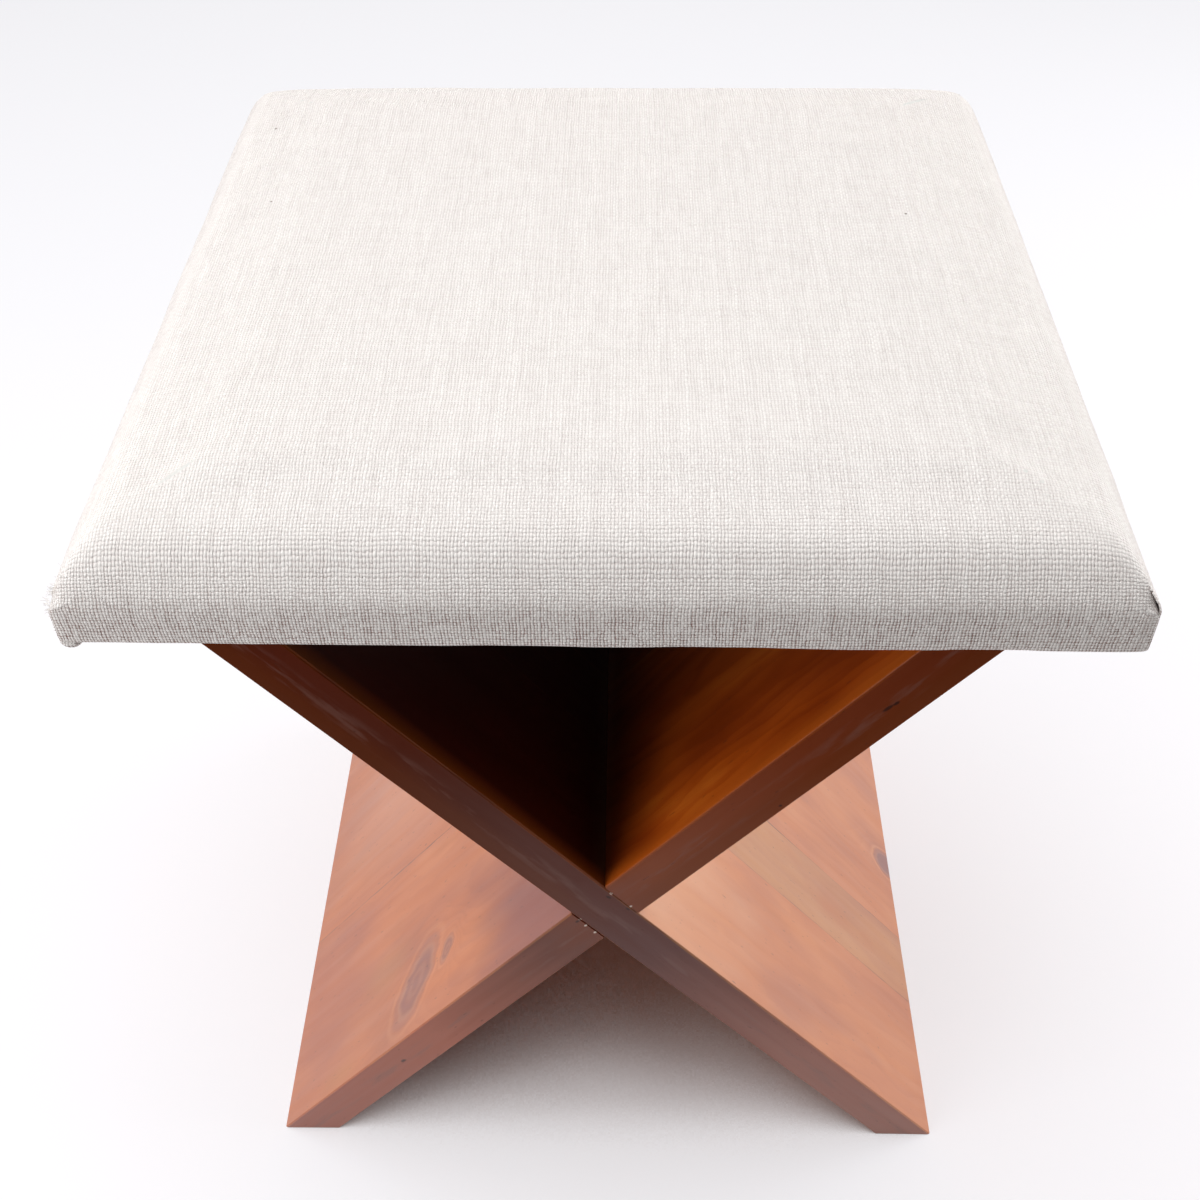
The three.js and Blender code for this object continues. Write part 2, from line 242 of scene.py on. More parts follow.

    # The narrow faces at the front and back, coloured by height with painted shade and sheen
    to_front = add(tree, MATH, frame_depth_mm, depth, operation="SUBTRACT")
    to_front = add(tree, MATH, to_front, depth, operation="MINIMUM")
    narrow = add(tree, RANGE, to_front, 0.35, 0.9, 1.0, 0.0)
    upper = add(tree, RANGE, along, crossing_mm - 20, crossing_mm + 30, 0.0, 1.0, **SMOOTH)
    inside = add(tree, RANGE, height, -half_mm - 5, -half_mm + 5, 0.0, 1.0)
    high = add(tree, MATH, upper, inside, operation="MULTIPLY")
    layers = [
        (add(tree, RANGE, figure["amber"], 0.55, 0.75, 0.0, 0.55), linear("b9672a")),
        (add(tree, RANGE, figure["mauve"], 0.5, 0.75, 0.0, 0.5), linear("94513f")),
        (add(tree, RANGE, along, 0.0, 170, 0.25, 0.0), linear("9c5236")),
    ]
    # Patches of stain; the first on B is painted shade near the crossing
    for at_along, at_depth, length, width, hex_colour, strength in patches:
        scale = (2 / length, 2 / width, 0)
        shift = (-scale[0] * at_along, -scale[1] * at_depth, 0)
        off = add(tree, "ShaderNodeMapping", board, shift, (0, 0, 0), scale)
        off = add(tree, "ShaderNodeVectorMath", off, out=1, operation="LENGTH")
        off = add(tree, MATH, figure["cloud"], 1.2, off, operation="MULTIPLY_ADD")
        patch_share = add(tree, RANGE, off, 0.7, 1.7, strength, 0.0, **SMOOTH)
        layers.append((patch_share, linear(hex_colour)))
    # Painted shade: the V's inner faces above the crossing take the dark colours
    layers.append((high, colours[1]))
    for away, strength in aways:
        swirl = add(tree, MATH, figure["fibre"], 0.06, away, operation="MULTIPLY_ADD")
        swirl = add(tree, MATH, swirl, 12, operation="MULTIPLY")
        swirl = add(tree, MATH, swirl, operation="SINE")
        fade = add(tree, RANGE, away, 0.6, 1.9, strength, 0.0, **SMOOTH)
        pale = add(tree, RANGE, swirl, -1.0, 0.1, 0.45, 0.0)
        dusky = add(tree, RANGE, swirl, 0.1, 1.0, 0.0, 0.4)
        layers.append((add(tree, MATH, pale, fade, operation="MULTIPLY"), linear("dca274")))
        layers.append((add(tree, MATH, dusky, fade, operation="MULTIPLY"), linear("8a4a42")))
        layers.append((add(tree, RANGE, away, 0.75, 1.25, 0.8 * strength, 0.0), linear("865048")))

    # Painted shade: the V's inner faces darken towards the back and deep in the crossing's crook
    shade_towards_back = add(tree, RANGE, depth, 10, 170, 0.0, 0.95)
    layers.append((add(tree, MATH, shade_towards_back, high, operation="MULTIPLY"), linear("120300")))
    shade_in_crook = add(tree, RANGE, along, crossing_mm, crossing_mm + 75, 0.92, 0.0, **SMOOTH)
    layers.append((add(tree, MATH, shade_in_crook, high, operation="MULTIPLY"), linear("1e0300")))
    # Painted light: the front 10 mm of the V's inner faces is lighter, where light reaches in
    light_at_v_mouth = add(tree, RANGE, depth, 0.0, 10, 0.9, 0.0)
    layers.append((add(tree, MATH, light_at_v_mouth, high, operation="MULTIPLY"), linear(v_mouth_light)))
    # Narrow faces: stain, painted darker towards the seat as shade and pinker near the foot as sheen
    layers.append((narrow, colours[2]))

    # The front edge is browner towards its under side and scuffed dull along its middle
    under = add(tree, RANGE, height, -half_mm - 6, -half_mm + 3, 0.4, 0.0)
    under = add(tree, MATH, under, narrow, operation="MULTIPLY")
    layers.append((add(tree, MATH, under, upper, operation="MULTIPLY"), linear("66300c")))
    off_middle = add(tree, MATH, height, half_mm, operation="ADD")
    off_middle = add(tree, MATH, off_middle, operation="ABSOLUTE")
    scuffed = add(tree, RANGE, off_middle, 1.5, 6, 0.35, 0.0)
    scuffed = add(tree, MATH, scuffed, narrow, operation="MULTIPLY")
    scuffs = add(tree, RANGE, figure["wear"], 0.52, 0.66, 0.0, 1.0)
    layers.append((add(tree, MATH, scuffed, scuffs, operation="MULTIPLY"), linear("7a5850")))
    layers.append((add(tree, RANGE, figure["fleck"], 0.73, 0.78, 0.0, 0.5), linear("4a2415")))

    # Glue lines where two boards meet, chipped here and there
    relief = add(tree, MATH, figure["fibre"], 0.6, operation="MULTIPLY")
    for at_depth, line_mm in joints:
        off = add(tree, MATH, depth, at_depth, operation="SUBTRACT")
        off = add(tree, MATH, off, operation="ABSOLUTE")
        off = add(tree, MATH, figure["chips"], -1.8 * line_mm, off, operation="MULTIPLY_ADD")
        line = add(tree, RANGE, off, -0.75 * line_mm, -0.25 * line_mm, 1.0, 0.0)
        worn = add(tree, RANGE, figure["amber"], 0.35, 0.65, 0.1, 0.9)
        line = add(tree, MATH, line, worn, operation="MULTIPLY")
        layers.append((line, linear("4f2a1a")))
        relief = add(tree, MATH, line, -2.5, relief, operation="MULTIPLY_ADD")

    # Small marks: dents, resin and nicks down to bare wood
    for at_along, at_height, length, width, hex_colour, strength in spots:
        scale = (2 / length, 2 / width, 2 / width)
        shift = (-scale[0] * at_along, 0, -scale[2] * at_height)
        off = add(tree, "ShaderNodeMapping", board, shift, (0, 0, 0), scale)
        off = add(tree, "ShaderNodeVectorMath", off, out=1, operation="LENGTH")
        off = add(tree, MATH, figure["chips"], 1.2, off, operation="MULTIPLY_ADD")
        mark = add(tree, RANGE, off, 1.2, 1.9, strength, 0.0, **SMOOTH)
        layers.append((mark, linear(hex_colour)))
        relief = add(tree, MATH, mark, -1.5, relief, operation="MULTIPLY_ADD")

    # Stain rubbed thin along the sawn edges
    to_face = add(tree, MATH, half_mm, off_middle, operation="SUBTRACT")
    to_edge = add(tree, MATH, to_face, to_front, operation="ADD")
    beside = add(tree, RANGE, to_edge, 0.2, 1.1, 1.0, 0.0, **SMOOTH)
    rubbed = add(tree, RANGE, figure["wear"], 0.4, 0.6, 0.15, 0.6)
    bared = add(tree, MIX, sockets={0: high, 6: linear("c88a56"), 7: linear("b8601c")}, **BLEND)
    layers.append((add(tree, MATH, beside, rubbed, operation="MULTIPLY"), bared))

    colour = colours[0]
    for share, over in layers:
        colour = add(tree, MIX, sockets={0: share, 6: colour, 7: over}, **BLEND)

    relief = add(tree, MATH, late, 0.3, relief, operation="MULTIPLY_ADD")
    bump = add(tree, "ShaderNodeBump", sockets={"Strength": 0.25, "Distance": 0.1 * mm, "Height": relief})

    # The lacquer lies thick on the legs' broad faces and sank in on the narrow ones and up under the seat
    sunk = add(tree, RANGE, along, 0.0, crossing_mm * 1.5, 0.35, 1.0)
    sunk = add(tree, MATH, sunk, narrow, operation="MULTIPLY")
    dry = add(tree, MATH, high, 0.85, operation="MULTIPLY")
    dry = add(tree, MATH, dry, sunk, operation="MAXIMUM")
    shader = add(
        tree,
        "ShaderNodeBsdfPrincipled",
        sockets={
            "Base Color": colour,
            "Roughness": add(tree, RANGE, figure["streak"], 0.3, 0.7, 0.42, 0.58),
            "IOR": 1.5,
            "Specular IOR Level": add(tree, RANGE, dry, 0.0, 1.0, 0.5, 0.03),
            "Coat Weight": add(tree, RANGE, dry, 0.0, 1.0, 0.7, 0.0),
            "Coat Roughness": 0.3,
            "Normal": bump,
        },
    )
    add(tree, "ShaderNodeOutputMaterial", shader)
    return material


tan_stain = [(0.15, "ae5c26"), (0.4, "c26e33"), (0.6, "ce7c40"), (0.85, "d98f55")]
rose_stain = [(0.15, "aa5624"), (0.4, "c06830"), (0.6, "cd763c"), (0.85, "da8951")]
grey_stain = [(0.15, "aa6434"), (0.4, "ba7641"), (0.6, "c48248"), (0.85, "ce9058")]
# Painted shade: dark colours for the V's inner faces above the crossing
v_painted_shade_a = [(0.15, "2e0801"), (0.5, "3a0a01"), (0.85, "4a0e02")]
v_painted_shade_b = [(0.2, "6e2402"), (0.45, "9a3c07"), (0.6, "b44e0f"), (0.8, "d4701f")]
# Narrow faces from the foot up: stain, pinker low down as painted sheen, darker high up as painted shade
edge_stain_and_shade_a = [(0.0, "9e5f4b"), (0.25, "985c4a"), (0.5, "5e3630")]
edge_stain_and_shade_a += [(0.6, "582c22"), (0.75, "4e2011"), (1.0, "541c08")]
edge_stain_and_shade_b = [(0.0, "a35c48"), (0.3, "a85e46"), (0.5, "6c3c2e")]
edge_stain_and_shade_b += [(0.65, "824020"), (0.85, "763214"), (1.0, "68280a")]
# Each is (painted shade in the V, painted light at the V's front, colours of the narrow faces)
painted_shading_a = (v_painted_shade_a, "7c3a08", edge_stain_and_shade_a)
painted_shading_b = (v_painted_shade_b, "c05c18", edge_stain_and_shade_b)
dark_mark = "2a140d"
bare_nick = "efe0d4"

# Marks on the front edges: (across, up) on the stool, then length, width, colour and strength
nicks = [(2.9, 240.2), (12.0, 230.1), (-11.6, 219.2), (-9.0, 213.9), (-4.8, 208.0)]
chips = [(1.7, 237.6), (10.8, 228.0), (-13.0, 217.2)]
nick_size = (1.9, 1.2)
chip_size = (2.6, 1.5)
marks = [(*at, *nick_size, bare_nick, 0.75) for at in nicks]
marks += [(*at, *chip_size, dark_mark, 0.8) for at in chips]
dents = [(112, 370, 6, 2), (115, 373, 3, 1.6), (-109, 81, 4, 2), (75, 307, 2, 1.6)]
marks_b = marks + [(*dent, dark_mark, 0.8) for dent in dents]
spots_a = [(*on_board(1, x, z), *rest) for x, z, *rest in marks]
spots_b = [(*on_board(-1, x, z), *rest) for x, z, *rest in marks_b]

knots_a = [(2, 184, 28, 16, 0, 1.5)]
knots_b = [(137, 31, 46, 23, 51, 0.85), (167, 37, 15, 8, 60, 0.7)]
washes_a = [(285, 50, 230, 170, "f0b486", 0.7)]
# The first, dark red near the crossing, is painted shade where the crossing shades the leg; the rest are
# stain
patches_b = [
    (275, 20, 200, 180, "883f34", 0.8),
    (98, 54, 50, 34, "c4803c", 0.4),
    (60, 8, 50, 20, "c07830", 0.5),
    (80, 25, 220, 120, "a8643f", 0.3),
    (110, 190, 260, 130, "dc9c7c", 0.4),
    (35, 60, 130, 150, "9a5040", 0.35),
]
joint_1 = (84, 0.5)
joint_2 = (129, 0.6)
joint_b = (122, 0.8)
front_b = (-1, rose_stain, painted_shading_b, (75, 40, 0.04), 2.9, knots_b, patches_b, [joint_b], spots_b)
boards = {
    "panel_a_front_board": (1, tan_stain, painted_shading_a, (60, 55, 0.02), 1.3, [], washes_a, [joint_1], spots_a),
    "panel_a_middle_board": (
        *(1, grey_stain, painted_shading_a, (150, 70, -0.03), 4.1),
        *([], washes_a, [joint_1, joint_2], []),
    ),
    "panel_a_rear_board": (1, tan_stain, painted_shading_a, (220, 45, 0.03), 7.7, knots_a, [], [joint_2], []),
    "panel_b_front_board_upper": front_b,
    "panel_b_front_board_lower": front_b,
    "panel_b_rear_board": (-1, rose_stain, painted_shading_b, (190, 60, -0.02), 5.5, [], patches_b, [joint_b], []),
}
for node, traits in boards.items():
    give(node, stained_board("stained_" + node, *traits))


# The cleats and the seat board
# Two bevelled battens of bare planed pine in the corners under the seat, and a sheet of seven-ply birch
# plywood that carries the padding. Neither is stained or lacquered, since cloth and shadow hide them.


def bare_timber(name, light, dark, grain_mm, line_mm, ply_mm):
    """Sanded bare wood, its figure grain_mm long on each axis, in dark lines line_mm apart or in plies."""
    material, tree = new_material(name)
    place = add(tree, "ShaderNodeTexCoord", out=3)
    in_mm = add(tree, "ShaderNodeMapping", place, (0, 0, 0), (0, 0, 0), (1 / mm, 1 / mm, 1 / mm))
    drawn = add(tree, "ShaderNodeMapping", in_mm, (3, 5, 7), (0, 0, 0), [1 / length for length in grain_mm])
    fibre = add(tree, "ShaderNodeTexNoise", drawn, sockets={"Scale": 1, "Detail": 5, "Roughness": 0.65})
    if ply_mm:
        level = add(tree, "ShaderNodeSeparateXYZ", in_mm, out=2)
        level = add(tree, MATH, level, 1 / (2 * ply_mm), operation="MULTIPLY")
        level = add(tree, MATH, level, operation="FRACT")
        line = add(tree, RANGE, level, 0.48, 0.52, 0.0, 0.6)
    else:
        slow = add(tree, "ShaderNodeMapping", drawn, (0, 0, 0), (0, 0, 0), (0.12, 0.5, 0.12))
        bend = add(tree, "ShaderNodeTexNoise", slow, sockets={"Scale": 1, "Detail": 2})
        crosswise = add(tree, "ShaderNodeSeparateXYZ", in_mm)
        crosswise = add(tree, MATH, bend, 6 * line_mm, crosswise, operation="MULTIPLY_ADD")
        crosswise = add(tree, MATH, crosswise, 1 / line_mm, operation="MULTIPLY")
        crosswise = add(tree, MATH, crosswise, operation="FRACT")
        line = add(tree, RANGE, crosswise, 0.3, 0.95, 0.0, 0.7)
    share = add(tree, MATH, fibre, 0.6, line, operation="MULTIPLY_ADD")
    colour = add(tree, MIX, sockets={0: share, 6: linear(light), 7: linear(dark)}, **BLEND)
    bump = add(tree, "ShaderNodeBump", sockets={"Strength": 0.4, "Distance": 0.15 * mm, "Height": fibre})
    shader = add(
        tree, "ShaderNodeBsdfPrincipled", colour, sockets={"Roughness": 0.75, "IOR": 1.5, "Normal": bump}
    )
    add(tree, "ShaderNodeOutputMaterial", shader)
    return material


planed_pine = bare_timber("planed_pine", "dcbc8a", "b98a55", (1.2, 70, 1.2), 4.5, 0)
give("cleat_left", planed_pine)
give("cleat_right", planed_pine)
seat_board_mm = 18
plies = 7
birch_plywood = bare_timber("birch_plywood", "dcc39a", "b1885a", (80, 1.1, 0.9), 0, seat_board_mm / plies)
give("seat_board", birch_plywood)


# The screws
# Countersunk wood screws with a cross recess, rolled from mild steel and plated with yellow zinc, which shows
# faint green and rose tints and fine scuffs from driving.

material, tree = new_material("yellow_zinc_plate")
place = add(tree, "ShaderNodeTexCoord", out=3)
tint = add(tree, "ShaderNodeTexNoise", place, sockets={"Scale": 1 / (3 * mm), "Detail": 3})
scuff = add(tree, "ShaderNodeTexNoise", place, sockets={"Scale": 1 / (0.3 * mm), "Detail": 2})
plating = add(tree, "ShaderNodeValToRGB", tint)
plating.node.color_ramp.elements[0].position = 0.35
plating.node.color_ramp.elements[0].color = linear("b8a04e")
plating.node.color_ramp.elements[1].position = 0.65
plating.node.color_ramp.elements[1].color = linear("c79a5a")
bump = add(tree, "ShaderNodeBump", sockets={"Strength": 0.2, "Distance": 0.05 * mm, "Height": scuff})
shader = add(
    tree,
    "ShaderNodeBsdfPrincipled",
    plating,
    sockets={"Metallic": 1.0, "Roughness": add(tree, RANGE, scuff, 0.3, 0.7, 0.26, 0.42), "Normal": bump},
)
add(tree, "ShaderNodeOutputMaterial", shader)
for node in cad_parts:
    if "screw" in node:
        give(node, material)


# The padding
# A block of upholstery foam glued to the board, under a layer of polyester wadding that softens its edges.
# Pulled tight by the cover, it slants in over the board's edge and rises to a low crown.

board_low, board_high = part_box("seat_board")
cover_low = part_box("seat_cover")[0]
cloth_mm = 1.2
wadding_mm = 3.0
layer_gap = 0.3 * mm
half_width = board_high.x + cloth_mm * mm + layer_gap
half_depth = board_high.y + cloth_mm * mm + layer_gap
board_top = board_high.z
voxel = 5 * mm
swell_cap = 2 * mm
swell_frames = 20
held_above = 0.3
least = 0.1 * mm

shoulder = board_top - 0.3 * mm
roll_reach = 7.5 * mm
roll_rise = 10 * mm
crown_rise = 16 * mm
crown_fade = 12.5 * mm


def new_piece(name, shape):
    """A bmesh as an object of its own."""
    mesh = bpy.data.meshes.new(name)
    shape.to_mesh(mesh)
    shape.free()
    piece = bpy.data.objects.new(name, mesh)
    scene.collection.objects.link(piece)
    return piece


def apply_modifiers(piece):
    """Leaves the piece with the mesh that its modifiers make."""
    bpy.context.view_layer.update()
    evaluated = piece.evaluated_get(bpy.context.evaluated_depsgraph_get())
    finished = bpy.data.meshes.new_from_object(evaluated)
    piece.modifiers.clear()
    piece.data = finished


def seat_form(name, inset, base):
    """The stuffed seat as a closed form of small even faces. Layers under the cloth are drawn in by inset."""
    shape = bmesh.new()
    bmesh.ops.create_cube(shape, size=1)
    wall_top = shoulder - inset / 2
    size = (2 * (half_width - inset), 2 * (half_depth - inset), wall_top - base)
    bmesh.ops.scale(shape, vec=size, verts=shape.verts)
    bmesh.ops.translate(shape, vec=(0, 0, (wall_top + base) / 2), verts=shape.verts)
    lid = max(shape.faces, key=lambda face: face.calc_center_median().z)
    bmesh.ops.inset_region(shape, faces=[lid], thickness=roll_reach, depth=roll_rise, use_even_offset=True)
    piece = new_piece(name, shape)
    remesh = piece.modifiers.new("even_faces", "REMESH")
    remesh.mode = "VOXEL"
    remesh.voxel_size = voxel
    apply_modifiers(piece)

    # A fold where the cloth leaves the board's edge, over which the crown rises fast and then levels off
    for v in piece.data.vertices:
        if abs(v.co.z - wall_top) < voxel / 2:
            v.co.z = wall_top
            if v.co.y + half_depth - inset < voxel / 2:
                v.co.y = inset - half_depth
        from_side = max(half_width - inset - abs(v.co.x), least)
        from_end = max(half_depth - inset - abs(v.co.y), least)
        from_edge = (from_side**-2 + from_end**-2) ** -0.5
        rise = min(max(v.co.z - wall_top, 0) / roll_rise, 1) * crown_rise
        v.co.z += rise * (1 - math.exp(-from_edge / crown_fade))
    shape = bmesh.new()
    shape.from_mesh(piece.data)
    bmesh.ops.remove_doubles(shape, verts=shape.verts, dist=voxel / 4)
    shape.to_mesh(piece.data)
    shape.free()
    return piece


def swollen(piece):
    """Presses the form out like a taut cushion, held along the board. Returns each point's start and move."""
    before = [v.co.copy() for v in piece.data.vertices]
    held = piece.vertex_groups.new(name="held")
    for v in piece.data.vertices:
        above = (v.co.z - shoulder) / roll_rise - held_above
        held.add([v.index], 1 - min(max(above, 0), 1), "REPLACE")
    cloth = piece.modifiers.new("swell", "CLOTH")
    cloth.settings.use_pressure = True
    cloth.settings.uniform_pressure_force = 4
    cloth.settings.effector_weights.gravity = 0
    cloth.settings.vertex_group_mass = held.name
    cloth.point_cache.frame_start = 1
    cloth.point_cache.frame_end = swell_frames
    for step in range(1, swell_frames + 1):
        scene.frame_set(step)
    apply_modifiers(piece)
    scene.frame_set(1)
    moves = []
    for v, start in zip(piece.data.vertices, before):
        move = v.co - start
        move *= min(1, swell_cap / max(move.length, 1e-9))
        v.co = start + move
        moves.append(move)
    return before, moves


cover = seat_form("linen_cover", 0, cover_low.z)
start_points, moves = swollen(cover)
swelling = kdtree.KDTree(len(start_points))
for number, point in enumerate(start_points):
    swelling.insert(point, number)
swelling.balance()


def padding(name, inset, wall_mm):
    """A layer of padding on top of the board, swollen as the cover is: solid, or a skin wall_mm thick."""
    piece = seat_form(name, inset, board_low.z)
    for v in piece.data.vertices:
        nearest = swelling.find(v.co)[1]
        v.co += moves[nearest]
    shape = bmesh.new()
    shape.from_mesh(piece.data)
    cut = bmesh.ops.bisect_plane(
        shape,
        geom=[*shape.verts, *shape.edges, *shape.faces],
        plane_co=(0, 0, board_top),
        plane_no=(0, 0, 1),
        clear_inner=True,
    )
    if wall_mm:
        bmesh.ops.solidify(shape, geom=shape.faces, thickness=wall_mm * mm)
    else:
        rim = [g for g in cut["geom_cut"] if isinstance(g, bmesh.types.BMEdge)]
        bmesh.ops.contextual_create(shape, geom=rim)
    bmesh.ops.recalc_face_normals(shape, faces=shape.faces)
    for face in shape.faces:
        face.smooth = True
    shape.to_mesh(piece.data)
    shape.free()
    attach(piece, "root")
    return piece


foam = padding("foam_block", cloth_mm * mm + wadding_mm * mm + 2 * layer_gap, 0)
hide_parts("foam_pad")

# Open-cell foam: cream, dull, full of small round cells
material, tree = new_material("cut_polyurethane_foam")
place = add(tree, "ShaderNodeTexCoord", out=3)
cells = add(tree, "ShaderNodeTexVoronoi", place, sockets={"Scale": 1 / (1.2 * mm)})
age = add(tree, "ShaderNodeTexNoise", place, sockets={"Scale": 1 / (60 * mm), "Detail": 2})
share = add(tree, MATH, cells, 0.5, age, operation="MULTIPLY_ADD")
colour = add(tree, MIX, sockets={0: share, 6: linear("d9c98a"), 7: linear("efe6bd")}, **BLEND)
bump = add(tree, "ShaderNodeBump", sockets={"Strength": 0.6, "Distance": 0.5 * mm, "Height": cells})
shader = add(tree, "ShaderNodeBsdfPrincipled", colour, sockets={"Roughness": 0.95, "Normal": bump})
add(tree, "ShaderNodeOutputMaterial", shader)
foam.data.materials.append(material)

wadding = padding("wadding_layer", cloth_mm * mm + layer_gap, wadding_mm)
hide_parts("wadding")

# Carded polyester: white, matt, with loose fibres lying every way
material, tree = new_material("polyester_wadding")
place = add(tree, "ShaderNodeTexCoord", out=3)
tangle = add(
    tree,
    "ShaderNodeTexNoise",
    place,
    sockets={"Scale": 1 / (4 * mm), "Detail": 6, "Roughness": 0.7, "Distortion": 1.5},
)
colour = add(tree, MIX, sockets={0: tangle, 6: linear("d9d8d4"), 7: linear("f6f5f2")}, **BLEND)
bump = add(tree, "ShaderNodeBump", sockets={"Strength": 0.7, "Distance": 1 * mm, "Height": tangle})
shader = add(
    tree,
    "ShaderNodeBsdfPrincipled",
    colour,
    sockets={"Roughness": 1.0, "Sheen Weight": 0.3, "Normal": bump},
)
add(tree, "ShaderNodeOutputMaterial", shader)
wadding.data.materials.append(material)


# The seat cover
# One piece of off-white linen-look cloth in an uneven plain weave, pulled over the padding and round the
# board's edge and stapled beneath. At each corner the spare cloth is folded back along the side.

border = 45 * mm
roll_top = shoulder + roll_rise
roll_slack = 0.63
hem_sag = 2.4 * mm
hem_reach = 4 * mm
swell_height = 0.35 * mm
underside_top = cover_low.z + 3 * mm
facing_down = -0.7
UV_MM = "cloth_mm"


def drop_along(z):
    """How much further a thread has run at height z than it seems to from above, in millimetres."""
    on_roll = min(max(roll_top - z, 0), roll_top - shoulder) * roll_slack
    on_wall = max(shoulder - z, 0)
    return (on_roll + on_wall) / mm


def lay_threads(shape):
    """Gives every face corner its place in the flat cloth in mm, so that the weave runs over the edges."""
    flat = shape.loops.layers.uv.new(UV_MM)
    for face in shape.faces:
        normal = face.normal
        front_or_back = abs(normal.y) > abs(normal.x)
        middle = face.calc_center_median()
        beneath = normal.z < facing_down and middle.z < underside_top
        if beneath:
            front_or_back = half_depth - abs(middle.y) < half_width - abs(middle.x)
        for loop in face.loops:
            x, y, z = loop.vert.co
            across, along = x / mm, y / mm
            if beneath:
                fold = half_depth if front_or_back else half_width
                outside = abs(y) if front_or_back else abs(x)
                run = drop_along(cover_low.z) + 2 * (fold - outside) / mm
            else:
                run = drop_along(z)
            if front_or_back:
                along += math.copysign(run, y)
            else:
                across += math.copysign(run, x)
            loop[flat].uv = (across, along)


shape = bmesh.new()
shape.from_mesh(cover.data)
above = [v for v in shape.verts if v.co.z > shoulder + 3 * mm]
bmesh.ops.smooth_vert(shape, verts=above, factor=0.5, use_axis_x=True, use_axis_y=True, use_axis_z=True)
shape.normal_update()

# Uneven stuffing and pull: slow, shallow swells
for v in shape.verts:
    swell = noise.noise(v.co / (45 * mm)) + 0.5 * noise.noise(v.co / (16 * mm))
    v.co += v.normal * swell * swell_height

# The front hem hangs a little lower towards the right
for v in shape.verts:
    if v.co.z < underside_top:
        rightward = max(v.co.x / half_width + 1, 0) / 2
        v.co.z -= hem_sag * rightward**1.5 * math.exp(-(v.co.y + half_depth) / hem_reach)
lay_threads(shape)
opening = [
    face
    for face in shape.faces
    if face.normal.z < facing_down
    and abs(face.calc_center_median().x) < half_width - border
    and abs(face.calc_center_median().y) < half_depth - border
]
bmesh.ops.delete(shape, geom=opening, context="FACES")
for face in shape.faces:
    face.smooth = True
shape.to_mesh(cover.data)
shape.free()
finer = cover.modifiers.new("finer", "SUBSURF")
finer.levels = finer.render_levels = 1
wall = cover.modifiers.new("cloth", "SOLIDIFY")
wall.thickness = cloth_mm * mm
wall.offset = -1

# The plain weave: each thread is a round strand that passes over and under the ones it crosses. Warp threads
# run from front to back and weft threads across. Each is (spacing in millimetres, thin and thick half width
# as shares of the spacing, millimetres from one thick place to the next).
warp = (1.2, 0.44, 0.62, 45)
weft = (1.35, 0.5, 0.6, 25)
drift_mm = 1.4
crowding = 0.16


